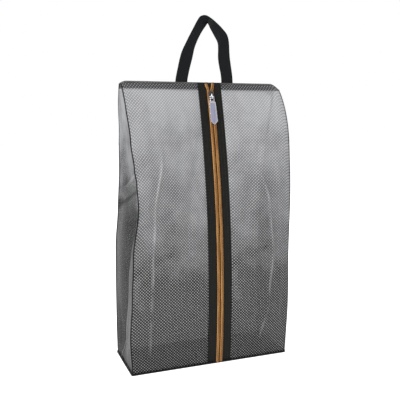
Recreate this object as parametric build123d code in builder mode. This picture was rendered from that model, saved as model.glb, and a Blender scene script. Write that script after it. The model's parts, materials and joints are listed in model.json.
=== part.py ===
from build123d import *
import os
from math import asin, cos, degrees, radians, sin, sqrt

# Shoe bag of sheer mesh with a zip down its front, in millimetres. It stands on its base at
# z = 0, its front faces -Y, and a webbing handle stands up from the seam along its top.

os.makedirs("parts", exist_ok=True)

# Driving dimensions of the bag.
bag_width = 220.0
bag_depth = 84.0
bag_height = 370.0
wall_bow = 18.0  # how far the zip and the back bow out from a straight slope
knee_height = 285.0  # the front's side edges stay nearly upright up to here
knee_out = 43.5  # how far forward those edges still are at that height
knee_lean = 3.4  # their lean there, in degrees from upright
mesh_thick = 0.8
base_thick = 1.0

# Bindings and the tape in the top seam.
binding_thick = 1.0
binding_gap = 0.3
binding_tall = 2.8
seam_tape_wide = 5.0
seam_tape_thick = 0.8
seam_tape_gap = 0.3
crest_half = 1.9  # half of the top seam's thickness
top_tape_front = 0.35
top_tape_thick = 0.7
top_tape_deep = 11.0
top_tape_inset = 2.5

# Zip: two tapes, two coils and a slider with its pull.
zip_x = 10.0  # the zip is sewn a little right of the middle
tape_reach = 14.0
tape_thick = 0.9
coil_slit = 0.7  # half of the slit between the two coils
coil_wide = 3.6
coil_tall = 2.0
coil_round = 0.9
coil_top_gap = 0.6
coil_foot_gap = 0.4
slider_clear = 0.35
slider_wall = 0.8
plate_thick = 1.0
slider_below_crest = 19.5

# Handle of 16 mm webbing, folded over at its peak.
web_wide = 16.0
web_thick = 1.4
handle_y = -0.375
hinge_rise = 2.6
left_foot_x = -27.5
right_foot_x = 36.0
tail_deep = 12.0
tail_rise = 1.0

# Worked out: side faces, and the arc that the zip and the back follow.
side_face = bag_width / 2 - binding_thick - binding_gap
foot = Vector(0, -(bag_depth / 2 - binding_thick - binding_gap), base_thick)
crest = Vector(0, -crest_half, bag_height)
knee = Vector(0, -knee_out, knee_height)
chord = crest - foot
wall_radius = (chord.length**2 / 4 + wall_bow**2) / (2 * wall_bow)
inward = Vector(0, chord.Z, -chord.Y).normalized()
arc_centre = foot + chord * 0.5 + inward * (wall_radius - wall_bow)
arc_axis = Axis(arc_centre, (1, 0, 0))


def arc_angle(height):
    """Degrees above level, seen from the arc's centre, of the arc's point at this height."""
    return degrees(asin((height - arc_centre.Z) / wall_radius))


def on_arc(height):
    """(y, z) of the front arc at this height."""
    return (arc_centre.Y - sqrt(wall_radius**2 - (height - arc_centre.Z) ** 2), height)


def across_arc(angle):
    """Plane across the zip at this angle: its x runs along X, its y outwards from the arc's centre."""
    turn = radians(angle)
    return Plane(arc_centre, x_dir=(1, 0, 0), z_dir=(0, -sin(turn), -cos(turn)))


def draw_arc_edge(shift=0.0):
    """Foot to crest along the zip's arc, moved in by shift, as two arcs that meet at the knee."""
    heights = (foot.Z, knee_height / 2, knee_height, (knee_height + bag_height) / 2, bag_height)
    points = [(y + shift, z) for y, z in map(on_arc, heights)]
    ThreePointArc(points[2], points[1], points[0])
    ThreePointArc(points[2], points[3], points[4])


def draw_full_edge(shift=0.0):
    """Foot to crest along the filled side edge: nearly upright to the knee, then round to the crest."""
    knee_point = (knee.Y + shift, knee.Z)
    up = Vector(sin(radians(knee_lean)), cos(radians(knee_lean)))
    TangentArc(knee_point, (foot.Y + shift, foot.Z), tangent=-up)
    TangentArc(knee_point, (crest.Y + shift, crest.Z), tangent=up)


def strip_outline(draw_edge, start, wide):
    """Outline of an upright strip between the edge moved in by start and by start + wide."""
    with BuildLine() as outline:
        draw_edge(start)
        draw_edge(start + wide)
        Line((foot.Y + start, foot.Z), (foot.Y + start + wide, foot.Z))
        Line((crest.Y + start, crest.Z), (crest.Y + start + wide, crest.Z))
    return outline.edges()


def edges_at(draw_edge, x):
    """The two arcs of an edge, lower first, in the upright plane at x."""
    with BuildLine() as edge:
        draw_edge()
    return (Plane.YZ.offset(x) * edge.line).edges().sort_by(Axis.Z)


arc_wall = strip_outline(draw_arc_edge, 0, mesh_thick)
seam_strips = {"front": strip_outline(draw_full_edge, mesh_thick + seam_tape_gap, seam_tape_wide),
               "back": strip_outline(draw_arc_edge, mesh_thick + seam_tape_gap, seam_tape_wide)}

# Front walls: mesh from each side edge, which is full, to the zip, which is flatter.
front_walls = {"left": (-side_face + mesh_thick, zip_x - tape_reach),
               "right": (side_face - mesh_thick, zip_x + tape_reach)}
for side, (edge_x, tape_x) in front_walls.items():
    with BuildPart() as front_mesh:
        for full_arc, zip_arc in zip(edges_at(draw_full_edge, edge_x), edges_at(draw_arc_edge, tape_x)):
            outer_face = Face.make_surface_from_curves(full_arc, zip_arc)
            extrude(outer_face, amount=mesh_thick, dir=(0, 1, 0))
    front_mesh.part.label = f"front_mesh_{side}"
    export_step(front_mesh.part, f"parts/front_mesh_{side}.step")

# Back wall: one piece of mesh, bowed as the zip is.
with BuildPart() as back_mesh:
    with BuildSketch(Plane.YZ):
        make_face(arc_wall)
        mirror(about=Plane.YZ, mode=Mode.REPLACE)
    extrude(amount=side_face - mesh_thick, both=True)
back_mesh.part.label = "back_mesh"
export_step(back_mesh.part, "parts/back_mesh.step")

# Gussets: flat side panels of mesh, full depth below, drawn in to the top seam above.
with BuildLine() as arc_edge:
    draw_arc_edge()
back_edge = arc_edge.line
for side, sign in (("left", -1), ("right", 1)):
    with BuildPart() as gusset:
        with BuildSketch(Plane.YZ.offset(sign * side_face)):
            with BuildLine():
                draw_full_edge()
                mirror(back_edge, about=Plane.YZ)
                Line((foot.Y, foot.Z), (-foot.Y, foot.Z))
                Line((crest.Y, crest.Z), (-crest.Y, crest.Z))
            make_face()
        extrude(amount=-sign * mesh_thick)
    gusset.part.label = f"gusset_{side}"
    export_step(gusset.part, f"parts/gusset_{side}.step")

# Base: a panel of close black cloth that the walls stand on.
with BuildPart() as base_panel:
    with BuildSketch():
        Rectangle(bag_width - 2 * binding_thick, bag_depth - 2 * binding_thick)
    extrude(amount=base_thick)
base_panel.part.label = "base_panel"
export_step(base_panel.part, "parts/base_panel.step")

# Binding round the foot of the walls: four strips that stand on the ground with the base.
for side, sign in (("front", -1), ("back", 1)):
    with BuildPart() as base_binding:
        with BuildSketch():
            with Locations((0, sign * (bag_depth - binding_thick) / 2)):
                Rectangle(bag_width, binding_thick)
        extrude(amount=binding_tall)
        fillet(base_binding.edges().filter_by(Axis.Z).group_by(Axis.Y)[-1 if sign > 0 else 0], 0.8)
    base_binding.part.label = f"base_binding_{side}"
    export_step(base_binding.part, f"parts/base_binding_{side}.step")
for side, sign in (("left", -1), ("right", 1)):
    with BuildPart() as base_binding:
        with BuildSketch():
            with Locations((sign * (bag_width - binding_thick) / 2, 0)):
                Rectangle(binding_thick, bag_depth - 2 * binding_thick)
        extrude(amount=binding_tall)
    base_binding.part.label = f"base_binding_{side}"
    export_step(base_binding.part, f"parts/base_binding_{side}.step")

# Seam tapes: narrow strips inside, that cover the raw edges where the gussets meet the walls.
for side, sign in (("left", -1), ("right", 1)):
    for wall, outline in seam_strips.items():
        with BuildPart() as seam_tape:
            with BuildSketch(Plane.YZ.offset(sign * (side_face - mesh_thick))):
                make_face(outline)
                if wall == "back":
                    mirror(about=Plane.YZ, mode=Mode.REPLACE)
            extrude(amount=-sign * seam_tape_thick)
            split(bisect_by=Plane.XY.offset(bag_height - tail_deep), keep=Keep.BOTTOM)
        seam_tape.part.label = f"seam_tape_{wall}_{side}"
        export_step(seam_tape.part, f"parts/seam_tape_{wall}_{side}.step")

# Tape inside the top seam, behind the ends of the handle.
with BuildPart() as top_seam_tape:
    with BuildSketch(Plane.XY.offset(bag_height - top_tape_deep)):
        with Locations((0, top_tape_front + top_tape_thick / 2)):
            Rectangle(2 * (side_face - top_tape_inset), top_tape_thick)
    extrude(amount=top_tape_deep)
top_seam_tape.part.label = "top_seam_tape"
export_step(top_seam_tape.part, "parts/top_seam_tape.step")

# Zip tapes and coils: sections swept round the arc's axis, from the crest down to the foot.
zip_top = arc_angle(crest.Z)
zip_run = zip_top - arc_angle(foot.Z)
coil_top = arc_angle(crest.Z - coil_top_gap)
coil_run = coil_top - arc_angle(binding_tall + coil_foot_gap)
for side, sign in (("left", -1), ("right", 1)):
    with BuildPart() as zip_tape:
        with BuildSketch(across_arc(zip_top)):
            with Locations((zip_x + sign * (coil_slit + tape_reach) / 2, wall_radius - tape_thick / 2)):
                Rectangle(tape_reach - coil_slit, tape_thick)
        revolve(axis=arc_axis, revolution_arc=zip_run)
    zip_tape.part.label = f"zip_tape_{side}"
    export_step(zip_tape.part, f"parts/zip_tape_{side}.step")

    with BuildPart() as zip_coil:
        with BuildSketch(across_arc(coil_top)) as coil_section:
            with Locations((zip_x + sign * (coil_slit + coil_wide / 2), wall_radius + coil_tall / 2)):
                Rectangle(coil_wide, coil_tall)
            fillet(coil_section.vertices().group_by(Axis.Y)[-1], coil_round)
        revolve(axis=arc_axis, revolution_arc=coil_run)
    zip_coil.part.label = f"zip_coil_{side}"
    export_step(zip_coil.part, f"parts/zip_coil_{side}.step")

# Slider: its plane touches the zip's arc, with x along X, y up the zip and z outwards.
slider_turn = radians(zip_top) - slider_below_crest / wall_radius
slider_plane = Plane(
    arc_centre
    + Vector(zip_x, -wall_radius * cos(slider_turn), wall_radius * sin(slider_turn)),
    x_dir=(1, 0, 0),
    z_dir=(0, -cos(slider_turn), sin(slider_turn)),
)
slider_half = 5.5  # half of the body's length
channel_half = coil_slit + coil_wide + slider_clear
body_half = channel_half + slider_wall
nose_reach = 7.2
nose_half = 1.5
front_plate_low = coil_tall + slider_clear
front_plate_high = front_plate_low + plate_thick
rear_plate_high = -tape_thick - slider_clear
rear_plate_low = rear_plate_high - plate_thick
wedge_half = 0.35
bridge_half = 4.2  # half of the bridge's length along the zip
bridge_wide = 2.4
bridge_strap = 0.9
bridge_room = 1.85  # height of the hole under the bridge
pull_bar = 0.55  # radius of the pull's crossbar, which turns in that hole
pull_axis_y = -1.6
pull_axis_z = front_plate_high + pull_bar + 0.4


def draw_slider_outline():
    """Shield outline of the slider's plates: a rounded nose above, the closed end below."""
    right_side = [(nose_half, nose_reach), (body_half - 1.2, 4.4), (body_half, 2.0),
                  (body_half - 0.5, -slider_half)]
    left_side = [(-x, y) for x, y in reversed(right_side)]
    Polygon(*right_side, *left_side, align=None)


with BuildPart() as zip_slider:
    with BuildSketch(slider_plane.offset(slider_clear)) as front_outline:
        draw_slider_outline()
        fillet(front_outline.vertices(), 1.0)
    extrude(amount=front_plate_high - slider_clear)
    with BuildSketch(slider_plane.offset(slider_clear)):
        Rectangle(2 * channel_half, 4 * slider_half)
    extrude(amount=front_plate_low - slider_clear, mode=Mode.SUBTRACT)
    fillet(zip_slider.faces().sort_by(Axis(slider_plane.origin, slider_plane.z_dir))[-1].edges(), 0.35)
    with BuildSketch(slider_plane.offset(rear_plate_low)) as rear_outline:
        draw_slider_outline()
        fillet(rear_outline.vertices(), 1.0)
    extrude(amount=plate_thick)
    # the wedge that parts the coils, which joins the two plates
    with BuildSketch(slider_plane.offset(rear_plate_high)):
        with Locations((0, 3.2)):
            Rectangle(2 * wedge_half, 5.6)
    extrude(amount=front_plate_low - rear_plate_high)
    # the bridge that holds the pull
    with BuildSketch(Plane(slider_plane.origin, x_dir=slider_plane.y_dir, z_dir=slider_plane.x_dir)) as bridge:
        with Locations((0, front_plate_high + (bridge_room + bridge_strap) / 2)):
            Rectangle(2 * bridge_half, bridge_room + bridge_strap)
        fillet(bridge.vertices().group_by(Axis.Y)[-1], 1.6)
        with Locations((0, front_plate_high + bridge_room / 2)):
            Rectangle(2 * (bridge_half - bridge_strap), bridge_room, mode=Mode.SUBTRACT)
    extrude(amount=bridge_wide / 2, both=True)
zip_slider.part.label = "zip_slider"
export_step(zip_slider.part, "parts/zip_slider.step")

# Pull: an eye round the bridge and a long tab with a pointed end, lying along the zip.
pull_thick = 1.2
eye_inner_half = 1.9
eye_outer_half = 3.1
eye_long = 6.4
neck_half = 4.4
tab_half = 4.9
tab_long = 37.0
tab_point = 2.6
rim_wide = 0.8
rim_deep = 0.2
pull_plane = Plane(
    slider_plane.from_local_coords((0, pull_axis_y, pull_axis_z)),
    x_dir=slider_plane.x_dir,
    z_dir=slider_plane.z_dir,
)
with BuildPart() as pull_tab:
    with BuildSketch(pull_plane.offset(-pull_thick / 2)) as tab_outline:
        right_side = [(eye_outer_half, 0), (eye_outer_half, -eye_long), (neck_half, -eye_long - 1.0),
                      (tab_half, -tab_long + tab_point), (1.4, -tab_long)]
        left_side = [(-x, y) for x, y in reversed(right_side)]
        Polygon(*right_side, *left_side, align=None)
        fillet(tab_outline.vertices().group_by(Axis.Y)[0], 0.8)
        with Locations((0, -eye_long / 2)):
            Rectangle(2 * eye_inner_half, eye_long, mode=Mode.SUBTRACT)
    extrude(amount=pull_thick)
    with BuildSketch(pull_plane.offset(pull_thick / 2)):
        with Locations((0, -(eye_long + tab_long) / 2)):
            RectangleRounded(2 * (neck_half - rim_wide), tab_long - eye_long - 2 * tab_point, 1.0)
    extrude(amount=-rim_deep, mode=Mode.SUBTRACT)
    with Locations(pull_plane):
        Cylinder(pull_bar, 2 * eye_outer_half, rotation=(0, 90, 0))
pull_tab.part.label = "pull_tab"
export_step(pull_tab.part, "parts/pull_tab.step")

# Handle: a loop of webbing above its hinge line, and the two ends sewn into the top seam.
hinge_height = bag_height + hinge_rise
foot_spans = {"left": left_foot_x, "right": right_foot_x}
outside_left = [(left_foot_x - web_wide / 2, hinge_height), (-27.5, 408), (-16, 432), (-2, 453)]
outside_right = [(8, 452), (27, 440), (37.5, 428), (40, 405), (right_foot_x + web_wide / 2, hinge_height)]
inside_right = [(right_foot_x - web_wide / 2, hinge_height), (23.5, 398), (23.5, 423), (11, 445)]
inside_left = [(-6.5, 423), (-14, 396), (left_foot_x + web_wide / 2, hinge_height)]
with BuildPart() as handle_loop:
    with BuildSketch(Plane.XZ.offset(-handle_y - web_thick / 2)) as loop_outline:
        Polygon(*outside_left, *outside_right, *inside_right, *inside_left, align=None)
        fillet(loop_outline.vertices().filter_by(lambda corner: corner.Y > hinge_height + 1), 3.0)
    extrude(amount=web_thick)
    for foot_x in foot_spans.values():
        with Locations((foot_x, handle_y, hinge_height)):
            Cylinder(web_thick / 2, web_wide, rotation=(0, 90, 0))
handle_loop.part.label = "handle_loop"
export_step(handle_loop.part, "parts/handle_loop.step")

for side, foot_x in foot_spans.items():
    with BuildPart() as handle_end:
        with BuildSketch(Plane.XY.offset(bag_height - tail_deep)):
            with Locations((foot_x, handle_y)):
                Rectangle(web_wide, 2 * (top_tape_front - 0.05 - handle_y))
        extrude(amount=tail_deep + tail_rise)
    handle_end.part.label = f"handle_end_{side}"
    export_step(handle_end.part, f"parts/handle_end_{side}.step")
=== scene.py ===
import json
from math import atan2, cos, degrees, exp, hypot, pi, radians, sin, sqrt

import bmesh
import bpy
from mathutils import Matrix, Vector, noise


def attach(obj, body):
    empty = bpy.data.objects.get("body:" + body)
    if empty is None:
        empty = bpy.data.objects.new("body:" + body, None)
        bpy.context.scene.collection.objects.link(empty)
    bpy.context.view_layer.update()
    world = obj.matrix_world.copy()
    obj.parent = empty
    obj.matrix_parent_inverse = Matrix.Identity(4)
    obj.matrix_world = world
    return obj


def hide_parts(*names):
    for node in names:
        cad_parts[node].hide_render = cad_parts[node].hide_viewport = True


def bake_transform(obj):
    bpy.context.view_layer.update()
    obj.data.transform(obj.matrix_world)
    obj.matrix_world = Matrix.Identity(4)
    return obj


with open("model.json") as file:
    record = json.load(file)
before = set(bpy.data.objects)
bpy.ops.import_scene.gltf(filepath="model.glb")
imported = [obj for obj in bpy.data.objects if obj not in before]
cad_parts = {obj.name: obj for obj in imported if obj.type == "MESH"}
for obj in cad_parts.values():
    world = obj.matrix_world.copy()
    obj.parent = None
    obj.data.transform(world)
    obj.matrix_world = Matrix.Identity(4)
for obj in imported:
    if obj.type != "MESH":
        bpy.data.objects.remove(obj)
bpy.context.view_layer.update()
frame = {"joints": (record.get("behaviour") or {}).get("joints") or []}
bpy.context.scene.view_settings.view_transform = "Standard"

# Base panel: the floor of the bag, one rectangle of close black cloth with its edge under the
# binding. Plain weave, matt, and a little puckered where the stitching draws it in.
MM = 0.001
base_wide, base_deep = 216.0, 80.0
base_top = 1.1
base_thick = 0.7
pucker_high = 2.2
pucker_wide, pucker_long = 19, 15
flat_rim = 0.06  # share of the width, from the sewn edge, over which the puckers rise
thread_lift = 0.12


def linear(hex_code):
    """An sRGB hex colour as the linear colour that a shader takes."""
    parts = [int(hex_code[i:i + 2], 16) / 255 for i in (1, 3, 5)]
    return [p / 12.92 if p <= 0.04045 else ((p + 0.055) / 1.055) ** 2.4 for p in parts] + [1.0]


def put(tree, kind, inputs=None, **settings):
    """Adds one shader node: its settings, then each input as a value or as another node's output."""
    node = tree.nodes.new("ShaderNode" + kind)
    for name, value in settings.items():
        setattr(node, name, value)
    for socket, value in (inputs or {}).items():
        if isinstance(value, bpy.types.NodeSocket):
            tree.links.new(value, node.inputs[socket])
        else:
            node.inputs[socket].default_value = value
    return node


def finish_named(name, **values):
    """A new material and its shader, with the values that are the same all over it."""
    made = bpy.data.materials.new(name)
    made.use_nodes = True
    surface = made.node_tree.nodes["Principled BSDF"]
    for socket, value in values.items():
        surface.inputs[socket.replace("_", " ")].default_value = value
    return made, made.node_tree, surface


def wave_scale(period_mm):
    """Scale of a Wave texture whose bands repeat at this distance."""
    return 2 * pi / 20 / (period_mm * MM)


def woven(name, low, high, across_mm, along_mm, roughness, folded=False):
    """Cloth woven from two sets of thread, that rise and dip by turns. The threads follow the cut
    of the cloth, or in a folded tape or a thread the object's x and z. Real threads are about a
    third as far apart as they are drawn, and would not show."""
    made, tree, surface = finish_named(name, Roughness=roughness, Specular_IOR_Level=0.12,
                                       Sheen_Weight=0.04, Sheen_Roughness=0.5)
    if folded:
        place, upward = put(tree, "TexCoord").outputs["Object"], "Z"
    else:
        place, upward = put(tree, "UVMap", uv_map="cloth").outputs[0], "Y"
    threads = {}
    for number, way, apart in ((0, "X", across_mm), (1, upward, along_mm)):
        wave = put(tree, "TexWave", {"Vector": place, "Scale": wave_scale(apart)},
                   bands_direction=way)
        threads[number] = wave.outputs["Fac"]
    crossing = put(tree, "Math", threads, operation="MULTIPLY").outputs[0]
    fade = put(tree, "TexNoise", {"Vector": place, "Scale": 45.0, "Detail": 3.0}).outputs["Fac"]
    uneven = put(tree, "Math", {0: crossing, 1: fade}, operation="MULTIPLY").outputs[0]
    lit = put(tree, "MapRange", {"Value": uneven, "From Max": 0.55}).outputs[0]
    colour = put(tree, "Mix", {0: lit, 6: linear(low), 7: linear(high)}, data_type="RGBA")
    tree.links.new(colour.outputs[2], surface.inputs["Base Color"])
    bump = put(tree, "Bump", {"Height": crossing, "Strength": 0.6, "Distance": thread_lift * MM})
    tree.links.new(bump.outputs[0], surface.inputs["Normal"])
    return made


def mesh_object(name, work, material):
    """Turns a finished bmesh into an object at the origin, with its material."""
    mesh = bpy.data.meshes.new(name)
    work.to_mesh(mesh)
    work.free()
    mesh.materials.append(material)
    made = bpy.data.objects.new(name, mesh)
    bpy.context.scene.collection.objects.link(made)
    return made


def grid_piece(name, across, along, place, material, flat=(1.0, 1.0), closed=False, grain=0.0,
               worn=None):
    """A piece from one flat grid: place(s, t), from 0 to 1 across and along, says where it goes,
    in mm. Its cloth has this flat size, its grain may be turned, and worn(s, t) says where it is
    creased, which the net's material paints as a highlight."""
    work = bmesh.new()
    uv = work.loops.layers.uv.new("cloth")
    bmesh.ops.create_grid(work, x_segments=across, y_segments=along, size=1)
    for face in work.faces:
        face.smooth = True
        for loop in face.loops:
            s, t = (loop.vert.co.x + 1) / 2, (loop.vert.co.y + 1) / 2
            right, up = s * flat[0] * MM, t * flat[1] * MM
            loop[uv].uv = (right * cos(grain) - up * sin(grain), right * sin(grain) + up * cos(grain))
    # how creased each point is, which the net's material paints as a highlight
    crease = work.verts.layers.float.new("crease") if worn else None
    for vert in work.verts:
        s, t = (vert.co.x + 1) / 2, (vert.co.y + 1) / 2
        if worn:
            vert[crease] = worn(s, t)
        vert.co = Vector(place(s, t)) * MM
    if closed:
        bmesh.ops.remove_doubles(work, verts=work.verts, dist=1e-6)
        bmesh.ops.holes_fill(work, edges=[e for e in work.edges if e.is_boundary], sides=0)
        bmesh.ops.recalc_face_normals(work, faces=work.faces)
    return mesh_object(name, work, material)


def thicken(piece, thick, offset=-1.0, inner=None):
    """Gives a single layer of cloth its thickness, inwards unless told otherwise, and its inner
    face a finish of its own where one is named."""
    solid = piece.modifiers.new("thickness", "SOLIDIFY")
    if inner:
        piece.data.materials.append(inner)
        solid.material_offset = 1
    solid.thickness = thick * MM
    solid.offset = offset
    return piece


def base_point(s, t):
    """Point of the base cloth: flat on the ground, puckered by less than a millimetre."""
    x, y = (s - 0.5) * base_wide, (t - 0.5) * base_deep
    pucker = max(0.0, noise.noise(Vector((x / pucker_wide, y / pucker_long, 4.2)))) * pucker_high
    # the cloth is less deep than wide, so a share of its depth counts for less
    rim = min(s, 1 - s, (t + 0.02) * 0.4, (1.02 - t) * 0.4)
    return x, y, base_top + pucker * min(1.0, rim / flat_rim)


# spun polyester, woven tight: light sinks in, and only the tops of the threads show grey
canvas = woven("black plain-weave cloth", "#08090D", "#262932", 1.7, 1.7, 0.85)
base_cloth = grid_piece("base_cloth", 72, 28, base_point, canvas, (base_wide, base_deep))
thicken(base_cloth, base_thick)
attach(base_cloth, "root")
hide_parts("base_panel")

# Base binding: narrow black tape folded over the raw edges all round the foot of the bag and
# sewn through, so it stands proud as a thin dark line that the bag rests on.
binding_half_wide, binding_half_deep = 110.0, 42.0
binding_thick = 1.0
binding_corner = 2.6
binding_steps = ((0.5, 1.0015), (0.9, 1.001), (0.9, 0.9995), (0.5, 0.998))  # mm up, and how it swells
shortest_side = 20  # mm: every edge longer than this is a side, and not a step round a corner
off_ground = 0.05


def of_kind(made, kind):
    """The vertices or the edges among what an operator has just made."""
    return [g for g in made["geom"] if isinstance(g, kind)]


def bound_ring():
    """The tape as a ring: a rounded rectangle drawn up in steps that swell at the middle."""
    work = bmesh.new()
    bmesh.ops.create_grid(work, x_segments=1, y_segments=1, size=1)
    bmesh.ops.scale(work, vec=(binding_half_wide * MM, binding_half_deep * MM, 1), verts=work.verts)
    bmesh.ops.bevel(work, geom=work.verts[:], offset=binding_corner * MM, offset_type="OFFSET",
                    segments=5, profile=0.5, affect="VERTICES", material=-1)
    bmesh.ops.delete(work, geom=work.faces[:], context="FACES_ONLY")
    straight = [e for e in work.edges if e.calc_length() > shortest_side * MM]
    bmesh.ops.subdivide_edges(work, edges=straight, cuts=40)
    ring = work.edges[:]
    for rise, grow in binding_steps:
        made = bmesh.ops.extrude_edge_only(work, edges=ring)
        moved = of_kind(made, bmesh.types.BMVert)
        bmesh.ops.translate(work, vec=(0, 0, rise * MM), verts=moved)
        bmesh.ops.scale(work, vec=(grow, grow, 1), verts=moved)
        ring = of_kind(made, bmesh.types.BMEdge)
    bmesh.ops.translate(work, vec=(0, 0, off_ground * MM), verts=work.verts)
    bmesh.ops.recalc_face_normals(work, faces=work.faces)
    for face in work.faces:
        face.smooth = True
    return work


def round_folds(piece, by):
    """Rounds a piece's sharp folds, by this much in mm."""
    soften = piece.modifiers.new("rounded folds", "BEVEL")
    soften.width, soften.segments, soften.limit_method = by * MM, 2, "ANGLE"


# polyester grosgrain, pressed flat by its fold: a shade smoother and darker than the base cloth
binding_cloth = woven("black folded binding tape", "#040405", "#141518", 1.2, 0.9, 0.75, folded=True)
base_binding = mesh_object("base_binding", bound_ring(), binding_cloth)
thicken(base_binding, binding_thick)
round_folds(base_binding, 0.3)
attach(base_binding, "root")
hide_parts(*[f"base_binding_{side}" for side in ("front", "back", "left", "right")])

# Back panel: one cut of coated mesh, sewn to the base, to both gussets and into the top seam.
# The mesh is a fine open net of grey yarn in a thin clear coat, so it is stiff and see-through.
side_face = 108.7
foot_z, crest_z = 1.0, 370.0
wall_long = 372.0
mesh_thick = 0.4
arc_radius = 965.017
# the front's side edges stand nearly upright to the knee, bowed forward by the sag, and then
# turn over the shoulder
foot_y, knee_y, knee_z = -40.7, -43.5, 285.0
lower_sag = 4.93
shoulder_radius, shoulder_y, shoulder_z = 122.73, 79.01, 277.72
# the last of each wall rolls into the top seam, whose corners turn down
roll_share, seam_roll = 0.975, 1.8
corner_from, corner_wide = 100.0, 8.7
left_drop, right_drop = 3.0, 7.0
back_swell = 3.0
# how far each upright seam is drawn in from the side face: (height, mm)
front_left_pull = ((0, 0), (50, -2.5), (100, 0), (152, 2), (216, 9.5), (244, 8), (262, 5.5),
                   (294, 2), (335, 0))
back_left_pull = ((0, 0), (150, 0.5), (205, 3.5), (250, 4.5), (300, 3.0), (350, 0))
right_pull = ((0, 0), (70, -1.0), (150, 0.8), (230, -0.6), (300, 0.6), (355, 0))


def joint_place(name):
    """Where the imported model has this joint, in metres."""
    return next(j for j in frame["joints"] if j["name"] == name)["pos_m"]


zip_x, arc_y, arc_z = (v / MM for v in joint_place("zip_run"))


def ease(knots, at):
    """Value between knots of (place, value), easing in and out of each."""
    if at <= knots[0][0]:
        return knots[0][1]
    for (a, low), (b, high) in zip(knots, knots[1:]):
        if at <= b:
            share = (at - a) / (b - a)
            return low + (high - low) * share * share * (3 - 2 * share)
    return knots[-1][1]


def arc_line(z):
    """How far forward the zip's arc lies at a height. The back panel's arc is its mirror."""
    return arc_y - sqrt(arc_radius**2 - (z - arc_z) ** 2)


def full_line(z):
    """How far forward the front's side edges lie: nearly upright, then round over the shoulder."""
    if z <= knee_z:
        share = (z - foot_z) / (knee_z - foot_z)
        return foot_y + (knee_y - foot_y) * share - 4 * lower_sag * share * (1 - share)
    return shoulder_y - sqrt(shoulder_radius**2 - (z - shoulder_z) ** 2)


def crown(x):
    """Height of the top seam, which turns down at both corners."""
    drop = left_drop if x < 0 else right_drop
    return crest_z - drop * max(0.0, (abs(x) - corner_from) / corner_wide) ** 2


def climb(t, x, edge):
    """(y, z) up a wall whose line is edge(z): the wall itself, then the roll into the top seam."""
    top = crown(x) - seam_roll
    if t <= roll_share:
        z = foot_z + (top - foot_z) * t / roll_share
        return edge(z), z
    turn = (t - roll_share) / (1 - roll_share) * pi / 2
    return edge(top) * cos(turn), top + seam_roll * sin(turn)


def crumple(x, z, seed, high):
    """Soft upright folds of stiff mesh, in mm, the same on every run: long folds, short ones
    between them, and dents."""
    long_fold = noise.noise(Vector((x / 27, z / 105, seed)))
    short_fold = noise.noise(Vector((x / 11, z / 60, seed + 5)))
    dent = noise.noise(Vector((x / 38, z / 34, seed + 9)))
    return high * (1.7 * long_fold + 0.5 * short_fold + 0.8 * dent)


def hold(s, t, side=0.10, foot=0.05, top=0.07):
    """1 in the middle of a panel and 0 at its sewn edges."""
    shares = (s / side, (1 - s) / side, t / foot, (1 - t) / top)
    return min(1.0, max(0.0, min(shares))) ** 0.7


# The net's yarns lie on the bias. They are drawn further apart than real ones, which would not show.
net_pitch = 2.8
yarn_soft = 0.12
clear_at_top = 0.72  # height of the yarn's wave above which it is yarn; the rest is film
# painted light and shade: the net's tones run from dark at the foot to pale at the top, with random
# cloud mixed in; the second number is where the pale top tone is reached
cloudiness, painted_light_above = 0.34, 0.515
fold_from, fold_to, fold_tone = 0.3590, 0.3612, 0.10  # m: where the net lies double in the seam
# how much each part hides of what is behind it: film at the foot and at the top, crease, yarn
foot_film, top_film, creased_film, solid_yarn = 0.54, 0.38, 0.75, 0.90


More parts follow.
